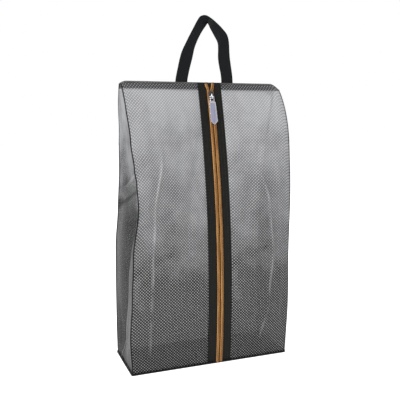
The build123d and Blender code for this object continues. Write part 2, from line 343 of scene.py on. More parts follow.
def coated_net(name, yarn_ends, film_ends, painted_shade_below, clear_at_foot):
    """Grey net on the bias with film between: yarn nearly solid, openings nearly clear. Yarn and film
    are painted pale at the top and dark at the foot, painted light and shade, and at the foot the yarn
    also spreads wider; along a crease both are painted paler, a painted highlight. In the top seam the
    net is folded double, which makes it darker."""
    made, tree, surface = finish_named(name, Roughness=0.42, IOR=1.45, Specular_IOR_Level=0.3)
    place = put(tree, "UVMap", uv_map="cloth").outputs[0]
    bias = put(tree, "Mapping", {"Vector": place, "Rotation": (0, 0, radians(45))}).outputs[0]
    yarns = {}
    for number, way in enumerate(("X", "Y")):
        wave = put(tree, "TexWave", {"Vector": bias, "Scale": wave_scale(net_pitch)},
                   bands_direction=way)
        yarns[number] = wave.outputs["Fac"]
    upper_yarn = put(tree, "Math", yarns, operation="MAXIMUM").outputs[0]

    # painted light and shade: the higher the net, the paler its colour and the thinner its yarn, with
    # random cloud mixed in, and darker again where it lies double in the seam
    height = put(tree, "SeparateXYZ", {0: put(tree, "TexCoord").outputs["Object"]}).outputs["Z"]
    cloud = put(tree, "TexNoise", {"Vector": place, "Scale": 16.0, "Detail": 4.0, "Roughness": 0.6})
    drift = put(tree, "Math", {0: cloud.outputs["Fac"], 1: cloudiness, 2: height},
                operation="MULTIPLY_ADD").outputs[0]
    cloud_and_painted_light = put(tree, "MapRange", {"Value": drift, "From Min": painted_shade_below,
                                    "From Max": painted_light_above}).outputs[0]
    folded = put(tree, "MapRange", {"Value": height, "From Min": fold_from, "From Max": fold_to,
                                    "To Min": 1.0, "To Max": fold_tone}).outputs[0]
    cloud_seam_and_painted_light = put(tree, "Math", {0: cloud_and_painted_light, 1: folded}, operation="MULTIPLY").outputs[0]
    gap = put(tree, "MapRange", {"Value": cloud_seam_and_painted_light, "To Min": clear_at_foot,
                                 "To Max": clear_at_top}).outputs[0]
    above = put(tree, "Math", {0: upper_yarn, 1: gap}, operation="SUBTRACT").outputs[0]
    yarn = put(tree, "MapRange", {"Value": above, "From Max": yarn_soft},
               interpolation_type="SMOOTHSTEP").outputs[0]

    # painted highlight along the creases: paler colour and denser film where the folds would catch the
    # light
    crease = put(tree, "Attribute", attribute_name="crease").outputs["Fac"]
    tints = {}
    for socket, (foot, top), crease_highlight in ((6, film_ends, "#F2F2F2"), (7, yarn_ends, "#B9B9BC")):
        graded = put(tree, "Mix", {0: cloud_seam_and_painted_light, 6: linear(foot), 7: linear(top)}, data_type="RGBA")
        tints[socket] = put(tree, "Mix", {0: crease, 6: graded.outputs[2], 7: linear(crease_highlight)},
                            data_type="RGBA").outputs[2]
    tint = put(tree, "Mix", {0: yarn, **tints}, data_type="RGBA")
    tree.links.new(tint.outputs[2], surface.inputs["Base Color"])
    film = put(tree, "MapRange", {"Value": cloud_seam_and_painted_light, "To Min": foot_film, "To Max": top_film}).outputs[0]
    film_with_highlight = put(tree, "MapRange", {"Value": crease, "To Min": film, "To Max": creased_film}).outputs[0]
    cover = put(tree, "MapRange", {"Value": yarn, "To Min": film_with_highlight, "To Max": solid_yarn})
    tree.links.new(cover.outputs[0], surface.inputs["Alpha"])
    bump = put(tree, "Bump", {"Height": yarn, "Strength": 0.5, "Distance": thread_lift * MM})
    tree.links.new(bump.outputs[0], surface.inputs["Normal"])
    return made


def coat_inside():
    """The clear coat where it closes the back of the net: all but unseen, with a little haze."""
    made, tree, surface = finish_named("clear coat on the net's inner face", Roughness=0.35, Alpha=0.04)
    place = put(tree, "TexCoord").outputs["Object"]
    haze = put(tree, "TexNoise", {"Vector": place, "Scale": 30.0})
    colour = put(tree, "Mix", {0: haze.outputs["Fac"], 6: linear("#BDBDBD"), 7: linear("#D8D8D8")},
                 data_type="RGBA")
    tree.links.new(colour.outputs[2], surface.inputs["Base Color"])
    return made


# polyester yarn in vinyl, pressed smooth: soft gloss, a grey lattice, and a milky haze behind it;
# the first tones are painted shade at the foot, the second painted light at the top
net = coated_net("coated polyester net", ("#08090B", "#6F7074"), ("#A3A2A2", "#DCDDDE"), 0.27, 0.34)
# the yarn shows once, from outside, so the inner face of the same cloth is left clear
net_inside = coat_inside()


def back_point(s, t):
    """Point of the back panel, from its right edge to its left as seen from the front."""
    rough_x = side_face * (1 - 2 * s)
    y, z = climb(t, rough_x, arc_line)
    right, left = side_face - ease(right_pull, z), -side_face + ease(back_left_pull, z)
    x = right + (left - right) * s
    swell = back_swell * sin(pi * s) * sin(pi * min(1.0, t / roll_share)) ** 2
    return x, -y + swell + hold(s, t) * crumple(x, z, 3.0, 1.2), z


back_panel = grid_piece("back_panel", 84, 150, back_point, net, (2 * side_face, wall_long),
                        grain=pi / 4)
thicken(back_panel, mesh_thick, inner=net_inside)
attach(back_panel, "root")
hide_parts("back_mesh")

# Gussets: the two side panels of the same mesh, full depth at the foot and drawn in to nothing at
# the top seam. They fold inwards when the bag is packed away, and keep that pleat.
sides = (("left", -1), ("right", 1))
gusset_deep = 84.0
# the pleat runs from the back corner of the foot up to the front seam: (height, share of the depth)
pleat_line = ((0, 0.25), (120, 0.46), (190, 0.66), (240, 0.93))
pleat_deep, pleat_wide = 13.0, 15
pleat_fade = ((0, 0.25), (40, 1.0), (190, 1.0), (246, 0.0))
fold_high, fold_wide = 3.6, 2.4
# how strong the painted highlight along the pleat's fold is, with height
fold_highlight = ((0, 0.3), (60, 0.45), (150, 0.5), (190, 0.2), (225, 0.0))
# the pinch runs down and back from this height on the front seam, with a lip above it
pinch_top, pinch_fall, pinch_lip = 243, 30, 9
dish_fade = ((250, 0.0), (300, 1.0), (350, 0.3))


def pinch_height(s):
    """Height of the pinch across a gusset, from the back edge to the front edge."""
    return pinch_top - pinch_fall * (1 - s)


def gusset_point(s, t, side):
    """Point of a gusset; s goes from the back edge to the front edge."""
    front_y, z = climb(t, side * side_face, full_line)
    back_y, _ = climb(t, side * side_face, arc_line)
    if side < 0:
        front_x, back_x = -side_face + ease(front_left_pull, z), -side_face + ease(back_left_pull, z)
    else:
        front_x = back_x = side_face - ease(right_pull, z)
    x = back_x + (front_x - back_x) * s
    y = -back_y + (front_y + back_y) * s
    off = (s - ease(pleat_line, z)) * gusset_deep
    pleat = pleat_deep * exp(-abs(off / pleat_wide) ** 1.6) - fold_high * exp(-(off / fold_wide) ** 2)
    above = z - pinch_height(s)
    pinch = 4.2 * exp(-(above / 6.5) ** 2) - 2.0 * exp(-((above - pinch_lip) / 5) ** 2)
    dish = 2.6 * sin(pi * s) * ease(dish_fade, z)
    inward = pleat * ease(pleat_fade, z) + pinch * (1.0 if side < 0 else 0.4) + dish
    inward += crumple(y, z, 11.0 if side < 0 else 17.0, 0.8)
    return x - side * hold(s, t, 0.12, 0.03, 0.10) * inward, y, z


def gusset_crease(s, t, side):
    """How creased a gusset is, which sets its painted highlight: along the pleat's fold, and along the
    lip of the pinch above it.
    """
    z = crest_z * t
    off = (s - ease(pleat_line, z)) * gusset_deep
    fold = exp(-(off / 1.2) ** 2) * ease(fold_highlight, z)
    pinch = exp(-((z - pinch_height(s) - pinch_lip) / 2.0) ** 2) * 0.3 * s
    return min(1.0, fold + pinch)


def on_side(shape, side):
    """A pair's shape for one side. On the right s runs the other way, so that it faces outwards."""
    return lambda s, t: shape(s if side < 0 else 1 - s, t, side)


# the same net with more painted shade at the foot: its film darker there, and its yarn closer
gusset_net = coated_net("coated polyester net, painted shade at the foot", ("#050608", "#6A6B70"),
                        ("#36363C", "#CFD0D1"), 0.38, 0.16)
for name, side in sides:
    gusset = grid_piece(f"{name}_gusset", 60, 170, on_side(gusset_point, side), gusset_net,
                        (gusset_deep, wall_long), worn=on_side(gusset_crease, side))
    thicken(gusset, mesh_thick, inner=net_inside)
    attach(gusset, "root")
    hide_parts(f"gusset_{name}")

# Front panels: mesh from each gusset to the zip. The side edges are full and the zip lies flatter,
# so each panel turns in from its shoulder, with a few long creases that handling has left.
tape_reach = 16.0
hem_under = 2.4  # the panel's edge runs behind the zip tape and is sewn through it
panel_half, panel_long = 107.9, 378.0
front_swell = 2.2
ridge_fade = 25
# each crease: its line of (height, x), how wide it is, its foot and top, and how proud
front_creases = {
    -1: ((((30, -86.0), (140, -82.0), (200, -78.0), (285, -66.0)), 1.7, 20, 290, 1.3),
         (((150, -36.0), (230, -27.0), (300, -10.0)), 5.5, 150, 300, -1.6),
         (((20, -99.0), (120, -98.0), (230, -86.0)), 4.0, 15, 235, 1.3)),
    1: ((((20, 68.0), (80, 79.6), (150, 84.5), (200, 81.0), (300, 60.0)), 1.7, 25, 260, 1.3),
        (((150, 34.0), (260, 62.0), (340, 92.0)), 6.0, 190, 340, -1.5),
        (((40, 96.0), (200, 97.0), (300, 90.0)), 3.5, 40, 290, 1.0)),
}
narrow_crease, highlight_wide = 2, 1.3  # mm: only a crease narrower than this gets a painted highlight, this wide


def ridge(x, z, line, wide, start, end):
    """A thin crease: 1 along a line of (z, x) knots, fading at both ends."""
    if not start < z < end:
        return 0.0
    off = (x - ease(line, z)) / wide
    return exp(-off * off) * min(1.0, (z - start) / ridge_fade, (end - z) / ridge_fade)


def front_point(s, t, side):
    """Point of a front panel; s goes from the gusset's seam to the zip."""
    rough_x = side * side_face * (1 - s) + (zip_x + side * tape_reach) * s
    edge_y, z = climb(t, rough_x, full_line)
    flat_y, _ = climb(t, rough_x, arc_line)
    pull = ease(front_left_pull if side < 0 else right_pull, z)
    outer, inner = side * (side_face - pull), zip_x + side * (tape_reach - hem_under)
    x = outer + (inner - outer) * s
    lap = min(1.0, max(0.0, 1.6 - abs(x - inner) / 5))
    y = edge_y + (flat_y + 1.25 * lap - edge_y) * s
    swell = front_swell * sin(pi * s) ** 0.8 * sin(pi * min(1.0, t / roll_share)) ** 0.8
    proud = sum(high * ridge(x, z, line, wide, foot, top)
                for line, wide, foot, top, high in front_creases[side])
    loose = crumple(x, z, 23.0 if side < 0 else 31.0, 1.5) + proud
    return x, y - swell - hold(s, t) * loose, z


def front_crease(s, t, side):
    """How creased a front panel is, which sets its painted highlight: along the narrow ridges only, and
    not evenly.
    """
    x, _, z = front_point(s, t, side)
    fade = 0.5 + noise.noise(Vector((x / 30, z / 22, 8.0)))
    crease_highlight = sum(0.3 * ridge(x, z, line, highlight_wide, foot, top)
                   for line, wide, foot, top, high in front_creases[side] if wide < narrow_crease)
    return fade * min(1.0, crease_highlight)


for name, side in sides:
    panel_wide = panel_half - side * zip_x - tape_reach + hem_under
    front_panel = grid_piece(f"{name}_front_panel", 72, 190, on_side(front_point, side), net,
                             (panel_wide, panel_long), worn=on_side(front_crease, side))
    thicken(front_panel, mesh_thick, inner=net_inside)
    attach(front_panel, "root")
    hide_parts(f"front_mesh_{name}")

# Seam tapes: narrow black tape over the raw edges of the four upright seams. From outside each
# shows as a thin dark line, a little proud, that follows the seam from foot to top.
seam_round = 6.0  # mm of tape round the seam
seam_half_wide, seam_half_thick = 0.8, 0.5
seam_share = 0.985  # each tape ends just short of the top seam
seam_set_in = 0.1


def seam_point(s, t, side, wall):
    """Point round a seam tape: a flattened tube along the seam's line."""
    if wall == "front":
        y, z = climb(t * seam_share, side * side_face, full_line)
        pull = ease(front_left_pull if side < 0 else right_pull, z)
    else:
        y, z = climb(t * seam_share, side * side_face, arc_line)
        y = -y
        pull = ease(back_left_pull if side < 0 else right_pull, z)
    turn = 2 * pi * s
    lean = pi / 4 if (side > 0) == (wall == "front") else -pi / 4
    wide, thick = seam_half_wide * cos(turn), seam_half_thick * sin(turn)
    dx, dy = wide * cos(lean) - thick * sin(lean), wide * sin(lean) + thick * cos(lean)
    return side * (side_face - pull - seam_set_in) + dx, y + dy, z


# polyester twill tape, pulled tight over the edge: dull black, a shade greyer than the binding
tape_cloth = woven("black seam tape", "#0A0B0E", "#26282E", 1.0, 1.0, 0.7)
for wall in ("front", "back"):
    for name, side in sides:
        def this_seam(s, t, side=side, wall=wall):
            return seam_point(s, t, side, wall)

        seam = grid_piece(f"{name}_{wall}_seam", 8, 120, this_seam, tape_cloth,
                          (seam_round, wall_long), closed=True)
        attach(seam, "root")
        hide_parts(f"seam_tape_{wall}_{name}")

# Top seam tape: a dark band inside the top seam that covers the raw edges and the handle's ends.
# It shows through the mesh as a navy strip, turned down at the right corner.
band_deep, band_half, band_thick = 10.2, 105.5, 0.5
band_below_crown = 1.0
turn_from, turn_wide, turn_down = 90, 15.5, 9.0


def band_point(s, t):
    """Point of the band, hanging inside the seam with a slightly uneven lower edge."""
    x = band_half * (2 * s - 1)
    deep = band_deep + 0.7 * noise.noise(Vector((x / 9, 2.0, 7.0)))
    deep += turn_down * max(0.0, (x - turn_from) / turn_wide) ** 2
    z = crown(x) - band_below_crown - deep * (1 - t)
    sway = 0.5 * noise.noise(Vector((x / 21, z / 8, 1.0)))
    return x, 0.7 - (1 - t) * (1.6 + sway), z


# dyed polyester tape, plain weave: matt navy, nearly black between its threads
band_cloth = woven("navy seam-band cloth", "#080E20", "#26324E", 1.3, 1.3, 0.8)
top_band = grid_piece("top_band", 110, 8, band_point, band_cloth, (2 * band_half, band_deep))
thicken(top_band, band_thick, 0.0)
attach(top_band, "root")
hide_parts("top_seam_tape")

# Zip tapes: two straight lengths of ribbed charcoal tape, woven thicker along the edge that
# carries the coil, and sewn over the edges of the front panels.
tape_slit, tape_thick = 0.12, 0.8
zip_top_y = -1.9
end_gap = 0.6  # mm that the zip stops short of the foot and of the top seam
# the cord by the coil, a flat band, and a groove on each side of it: (mm across, wide, proud)
tape_ribs = ((5.0, 0.7, 0.30), (8.6, 0.55, 0.16), (6.5, 0.5, -0.18), (10.9, 0.5, -0.12))


def arc_angle(y, z):
    """Angle up the zip's arc at which it passes this place, in degrees."""
    return degrees(atan2(z - arc_z, arc_y - y))


def on_zip(across, height, angle):
    """Point on the zip: across it, above its tape's face, and at an angle up its arc, in mm."""
    turn = radians(angle)
    reach = arc_radius + height
    return zip_x + across, arc_y - reach * cos(turn), arc_z + reach * sin(turn)


def tape_relief(across):
    """Height of the tape's ribs: a cord by the coil, a groove, and flat bands to the edge."""
    return sum(proud * exp(-((across - at) / wide) ** 2) for at, wide, proud in tape_ribs)


def ribbed_tape():
    """Charcoal polyester tape, woven with lengthwise ribs: matt, with an olive cast on the ribs and
    dust in them. The weft is drawn 1.5 mm apart, as the real one is too fine to show."""
    made, tree, surface = finish_named("ribbed charcoal zip tape", Roughness=0.7,
                                       Specular_IOR_Level=0.15)
    place = put(tree, "UVMap", uv_map="cloth").outputs[0]
    ribs = put(tree, "TexWave", {"Vector": place, "Scale": wave_scale(1.75), "Distortion": 0.6,
                                 "Detail Scale": 9.0}, bands_direction="X")
    weft = put(tree, "TexWave", {"Vector": place, "Scale": wave_scale(1.5)}, bands_direction="Y")
    dust = put(tree, "TexNoise", {"Vector": place, "Scale": 160.0, "Detail": 3.0})
    weave = put(tree, "Math", {0: ribs.outputs["Fac"], 1: weft.outputs["Fac"]}, operation="MULTIPLY")
    worn = put(tree, "Math", {0: weave.outputs[0], 1: dust.outputs["Fac"]}, operation="MULTIPLY")
    lit = put(tree, "MapRange", {"Value": worn.outputs[0], "From Max": 0.5})
    colour = put(tree, "Mix", {0: lit.outputs[0], 6: linear("#0C0C0A"), 7: linear("#25241F")},
                 data_type="RGBA")
    tree.links.new(colour.outputs[2], surface.inputs["Base Color"])
    bump = put(tree, "Bump", {"Height": weave.outputs[0], "Strength": 0.7, "Distance": 0.2 * MM})
    tree.links.new(bump.outputs[0], surface.inputs["Normal"])
    return made


zip_cloth = ribbed_tape()
top_angle = arc_angle(zip_top_y, crest_z - end_gap)
foot_angle = arc_angle(foot_y, foot_z + end_gap)
tape_wide = tape_reach - tape_slit
tape_long = radians(top_angle - foot_angle) * arc_radius
for name, side in sides:
    def this_tape(s, t, side=side):
        across = tape_slit + tape_wide * (s if side > 0 else 1 - s)
        return on_zip(side * across, tape_relief(across), foot_angle + (top_angle - foot_angle) * t)

    tape = grid_piece(f"{name}_zip_tape", 36, 120, this_tape, zip_cloth, (tape_wide, tape_long))
    thicken(tape, tape_thick)
    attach(tape, "root")
    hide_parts(f"zip_tape_{name}")

# Zip coils: one spiral of tan nylon on each tape, its turns hooked between those of the other.
# Two lines of brown chain stitch hold each coil down, and the pair parts above the slider.
coil_pitch = 1.45
coil_yarn = 0.50
# one turn, from the tape over to the head and down again: (mm from the middle, mm above the tape)
turn_line = ((4.05, 0.15), (4.2, 0.75), (3.75, 1.25), (2.9, 1.45), (2.0, 1.45), (1.25, 1.25),
             (0.86, 0.85), (0.9, 0.2))
head_from, head_swell = 0.7, 1.15  # the last share of a turn is its head, which is pressed thicker
yarn_flat, yarn_wide = 0.8, 1.15
turn_lean = 0.25
split_start, split_end, split_wide = 359.0, 367.5, 2.2
chain_lines = ((1.75, 1.95), (3.2, 1.85))  # mm from the middle, mm above the tape
chain_half_wide, chain_half_high = 0.26, 0.16
chain_wave, chain_stitches = 0.10, 150


def run_at(points, t):
    """Which run of a line of points t from 0 to 1 falls in, and how far along that run."""
    place = t * (len(points) - 1)
    run = min(int(place), len(points) - 2)
    return run, place - run


def parted(angle):
    """How far each coil is drawn aside, which is only above the slider."""
    z = arc_z + arc_radius * sin(radians(angle))
    return ease(((split_start, 0.0), (split_end, split_wide)), z)


def one_turn(s, t):
    """Point of one turn of the coil lying flat: round the yarn by s, from tape to head by t."""
    run, share = run_at(turn_line, t)
    (x0, h0), (x1, h1) = turn_line[run], turn_line[run + 1]
    x, h = x0 + (x1 - x0) * share, h0 + (h1 - h0) * share
    length = hypot(x1 - x0, h1 - h0)
    across, rise = (h1 - h0) / length, -(x1 - x0) / length
    out = coil_yarn * yarn_flat * cos(2 * pi * s)
    swell = coil_yarn * (head_swell if t > head_from else 1.0)
    return (x + across * out, h + rise * out,
            swell * yarn_wide * sin(2 * pi * s) + turn_lean * (t - 0.5))


def facing(place, *ways):
    """The transform that puts a shape at a place, with its x, y and z turned these ways."""
    return Matrix.Translation(place) @ Matrix(ways).transposed().to_4x4()


def satin_nylon():
    """Tan nylon monofilament, wound hot: smooth and slightly waxy, with dye that varies along it."""
    made, tree, surface = finish_named("tan nylon monofilament", Roughness=0.38, IOR=1.53,
                                       Coat_Weight=0.15, Coat_Roughness=0.3)
    place = put(tree, "TexCoord").outputs["Object"]
    long_way = put(tree, "Mapping", {"Vector": place, "Scale": (260, 40, 12)})
    streak = put(tree, "TexNoise", {"Vector": long_way.outputs[0], "Scale": 3.0, "Detail": 4.0})
    lit = put(tree, "MapRange", {"Value": streak.outputs["Fac"], "From Min": 0.3, "From Max": 0.7})
    colour = put(tree, "Mix", {0: lit.outputs[0], 6: linear("#96602A"), 7: linear("#E0A85E")},
                 data_type="RGBA")
    tree.links.new(colour.outputs[2], surface.inputs["Base Color"])
    grain = put(tree, "TexNoise", {"Vector": place, "Scale": 2500.0, "Detail": 2.0})
    bump = put(tree, "Bump", {"Height": grain.outputs["Fac"], "Strength": 0.15, "Distance": 0.05 * MM})
    tree.links.new(bump.outputs[0], surface.inputs["Normal"])
    return made


nylon = satin_nylon()
# twisted polyester: a matt brown line that breaks up the gloss of the coil
chain_thread = woven("brown chain-stitch thread", "#3B2410", "#6E4720", 0.8, 0.8, 0.7, folded=True)
turn_shape = grid_piece("turn_shape", 6, 9, one_turn, nylon, closed=True)
turn_count = int(tape_long / coil_pitch)
for name, side in sides:
    work = bmesh.new()
    for n in range(turn_count):
        # the right coil starts half a turn up, so that its turns fall between the left coil's
        angle = foot_angle + degrees((n + (0.5 if side > 0 else 0.0)) * coil_pitch / arc_radius)
        if angle > top_angle:
            break
        turn = radians(angle)
        ahead = len(work.verts)
        work.from_mesh(turn_shape.data)
        work.verts.ensure_lookup_table()
        at = Vector(on_zip(side * parted(angle), 0.0, angle)) * MM
        set_in = facing(at, (side, 0, 0), (0, -cos(turn), sin(turn)), (0, sin(turn), cos(turn)))
        bmesh.ops.transform(work, matrix=set_in, verts=work.verts[ahead:])
    if side > 0:  # the right coil's turns are set in mirrored
        bmesh.ops.reverse_faces(work, faces=work.faces)
    coil = mesh_object(f"{name}_coil", work, nylon)
    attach(coil, "root")
    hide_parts(f"zip_coil_{name}")

    for line, (chain_at, chain_high) in enumerate(chain_lines, 1):
        def thread_point(s, t, side=side, chain_at=chain_at, chain_high=chain_high):
            angle = foot_angle + (top_angle - foot_angle) * t
            across = chain_at + parted(angle) + chain_half_wide * cos(2 * pi * s)
            wave = chain_wave * sin(angle * chain_stitches)
            return on_zip(side * across, chain_high + wave + chain_half_high * sin(2 * pi * s), angle)

        thread = grid_piece(f"{name}_coil_thread_{line}", 6, 400, thread_point, chain_thread,
                            closed=True)
        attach(thread, "root")
bpy.data.objects.remove(turn_shape)

# Slider: a small die-cast body, nickel plated, its plates tinted dark as painted shade. Two plates
# with a wedge between them ride on the coils, and the bridge on the front plate, painted bright as a
# glint, holds the pull.
pull_at = Vector(joint_place("pull_flip"))
pull_proud, pull_below = 4.3, 1.6  # mm from the slider's middle to the bar that the pull turns on
slider_turn = atan2(pull_at.z - arc_z * MM, arc_y * MM - pull_at.y) + pull_below / arc_radius
slider_x = Vector((1, 0, 0))
slider_y = Vector((0, sin(slider_turn), cos(slider_turn)))  # up the zip
slider_z = Vector((0, -cos(slider_turn), sin(slider_turn)))  # out of the zip's face
slider_at = pull_at - (slider_z * pull_proud - slider_y * pull_below) * MM
to_slider = facing(slider_at, slider_x, slider_y, slider_z)
# each plate: its narrowing, from and to in mm out of the zip's face, and its rounding
front_plate, rear_plate = (0.66, 2.35, 3.35, 0.42), (1.0, -2.25, -1.3, 0.35)
bridge_path = ((-4.3, 3.0), (-4.25, 4.2), (-3.6, 5.25), (-2.4, 5.65), (-1.0, 5.75), (0.6, 5.65),
               (1.8, 5.25), (2.5, 4.2), (2.55, 3.0))  # (mm up the zip, mm out)
bridge_foot, bridge_middle = 3.0, -0.9
strap_wide, strap_thick, strap_square = 0.95, 0.36, 0.6


def draw_up(work, outline, low, high):
    """Adds a block with this outline, in mm, from one height to another."""
    face = work.faces.new([work.verts.new((x * MM, y * MM, low * MM)) for x, y in outline])
    made = bmesh.ops.extrude_face_region(work, geom=[face])
    bmesh.ops.translate(work, vec=(0, 0, (high - low) * MM), verts=of_kind(made, bmesh.types.BMVert))


def plate(work, outline, low, high, round_by, steps=3):
    """Adds a plate with this outline, in mm, from one height to another, its edges rounded."""
    count = len(work.verts)
    draw_up(work, outline, low, high)
    fresh = work.verts[:][count:]
    edges = list({e for v in fresh for e in v.link_edges})
    bmesh.ops.bevel(work, geom=edges, offset=round_by * MM, offset_type="OFFSET", segments=steps,
                    profile=0.5, affect="EDGES", clamp_overlap=True, material=-1)


def shield(scale):
    """Outline of the slider's plates: a narrow rounded nose, wide shoulders and a closed foot."""
    half = ((1.5, 7.2), (3.0, 6.1), (4.5, 4.2), (5.35, 2.2), (5.45, 0.6), (5.15, -3.0),
            (4.95, -4.6), (4.2, -5.5))
    right = [(x * scale, y) for x, y in half]
    return [(-x, y) for x, y in reversed(right)] + right


def box_outline(left, right, low, high):
    """Four corners of a rectangle."""
    return [(left, low), (right, low), (right, high), (left, high)]


def plated_nickel(name, tint, rough_low, rough_high):
    """Plated metal: bright, with faint polishing marks along it and duller patches from handling."""
    made, tree, surface = finish_named(name, Metallic=1.0)
    place = put(tree, "TexCoord").outputs["Object"]
    drawn = put(tree, "Mapping", {"Vector": place, "Scale": (4500, 300, 300)})
    marks = put(tree, "TexNoise", {"Vector": drawn.outputs[0], "Scale": 1.0, "Detail": 3.0})
    patches = put(tree, "TexNoise", {"Vector": place, "Scale": 260.0, "Detail": 3.0})
    both = put(tree, "Math", {0: marks.outputs["Fac"], 1: patches.outputs["Fac"]}, operation="MULTIPLY")
    rough = put(tree, "MapRange", {"Value": both.outputs[0], "From Min": 0.1, "From Max": 0.45,
                                   "To Min": rough_low, "To Max": rough_high})
    tree.links.new(rough.outputs[0], surface.inputs["Roughness"])
    colour = put(tree, "Mix", {0: patches.outputs["Fac"], 6: linear(tint[0]), 7: linear(tint[1])},
                 data_type="RGBA")
    tree.links.new(colour.outputs[2], surface.inputs["Base Color"])
    bump = put(tree, "Bump", {"Height": marks.outputs["Fac"], "Strength": 0.05, "Distance": 0.02 * MM})
    tree.links.new(bump.outputs[0], surface.inputs["Normal"])
    return made


def slider_shape():
    """The slider about its own plane: front plate, rear plate and the wedge between them."""
    work = bmesh.new()
    plate(work, shield(front_plate[0]), *front_plate[1:])
    plate(work, shield(rear_plate[0]), *rear_plate[1:], 2)
    plate(work, box_outline(-0.32, 0.32, 0.6, 6.0), -1.6, 2.7, 0.12, 2)  # the wedge between them
    bmesh.ops.recalc_face_normals(work, faces=work.faces)
    return work


def bridge_point(s, t):
    """Point of the bridge: a flat strap bent up from the front plate and down again."""
    run, share = run_at(bridge_path, t)
    (y0, h0), (y1, h1) = bridge_path[run], bridge_path[run + 1]
    y, h = y0 + (y1 - y0) * share, h0 + (h1 - h0) * share
    off = abs(y - bridge_middle)
    slope = atan2(h - bridge_foot, off + 0.01) if off > 1 else pi / 2
    turn = 2 * pi * s
    wide = strap_wide * (1 if cos(turn) > 0 else -1) * abs(cos(turn)) ** strap_square
    thick = strap_thick * (1 if sin(turn) > 0 else -1) * abs(sin(turn)) ** strap_square
    out = thick * (cos(slope) if y > bridge_middle else -cos(slope))
    local = Vector((wide * MM, (y + out) * MM, (h + thick * sin(slope)) * MM))
    return (to_slider @ local) / MM


# die-cast zinc, barrel plated, its tint darkened as painted shade: a smoky mirror, so that the body
# sits back against the black tape
dark_nickel = plated_nickel("dark nickel plate", ("#4A4B50", "#6C6D72"), 0.15, 0.30)
# the same metal in a pale tint: a painted glint on the bridge
bright_nickel = plated_nickel("nickel plate, painted glint", ("#D2D3D8", "#F0F0F2"), 0.08, 0.18)
slider_body = mesh_object("slider_body", slider_shape(), dark_nickel)
slider_body.data.transform(to_slider)
bridge = grid_piece("slider_bridge", 12, 32, bridge_point, bright_nickel, closed=True)
for part in (slider_body, bridge):
    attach(part, "slider")
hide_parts("zip_slider")

# Pull: stamped from strip steel, an eye that hangs in the bridge and a long tab with a pointed
# end. Its brushed face is sunk inside a brighter rolled rim.
eye_half, eye_inner, eye_long = 3.1, 1.9, 6.4
tab_long, tab_point, tab_half, neck_half = 37.0, 4.2, 4.9, 4.4
tip_half = 0.35
pull_half = 0.6
edge_round, bar_round = 0.2, 0.35
rim_wide, rim_step, rim_deep = 0.95, 0.18, 0.22
bar_radius = 0.55


def pull_shape():
    """Tab with a rolled rim round a sunk face, two side bars to the eye and the crossbars."""
    work = bmesh.new()
    half = ((neck_half - 1.0, -eye_long), (neck_half, -eye_long - 1.0),
            (tab_half, -tab_long + tab_point), (tip_half, -tab_long))
    outline = [(-x, y) for x, y in half] + [(x, y) for x, y in reversed(half)]
    draw_up(work, outline, -pull_half, pull_half)
    bmesh.ops.recalc_face_normals(work, faces=work.faces)
    bmesh.ops.bevel(work, geom=work.edges[:], offset=edge_round * MM, offset_type="OFFSET", segments=3,
                    profile=0.5, affect="EDGES", clamp_overlap=True, material=-1)
    work.faces.ensure_lookup_table()
    for way in (1, -1):
        flat = max(work.faces, key=lambda f: f.calc_area() if f.normal.z * way > 0.9 else 0)
        bmesh.ops.inset_region(work, faces=[flat], thickness=rim_wide * MM, depth=0)
        bmesh.ops.inset_region(work, faces=[flat], thickness=rim_step * MM, depth=-rim_deep * MM)
        flat.material_index = 1
    for side in (-1, 1):
        bar = box_outline(*sorted((side * eye_inner, side * eye_half)), -eye_long - 0.8, 0.9)
        plate(work, bar, -pull_half, pull_half, bar_round)
    foot_bar = box_outline(-2.2, 2.2, -eye_long - 0.4, -eye_long + 0.9)
    plate(work, foot_bar, -pull_half, pull_half, bar_round)
    bmesh.ops.create_cone(work, cap_ends=True, segments=16, radius1=bar_radius * MM,
                          radius2=bar_radius * MM, depth=2 * eye_inner * MM + 0.6 * MM,
                          matrix=Matrix.Rotation(pi / 2, 4, "Y"))
    return work


# strip steel, rolled and plated: a bright hard line of light along the rim
rim_steel = plated_nickel("bright rolled steel", ("#D9DAE2", "#EDEDF2"), 0.12, 0.25)
# the sunk face is brushed before it is plated: an even, cool grey with no sharp reflection
face_steel = plated_nickel("brushed plated steel", ("#A3A4C0", "#BCBDD4"), 0.30, 0.42)
pull = mesh_object("pull", pull_shape(), rim_steel)
pull.data.materials.append(face_steel)
pull.data.transform(facing(pull_at, slider_x, slider_y, slider_z))
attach(pull, "pull")
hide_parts("pull_tab")

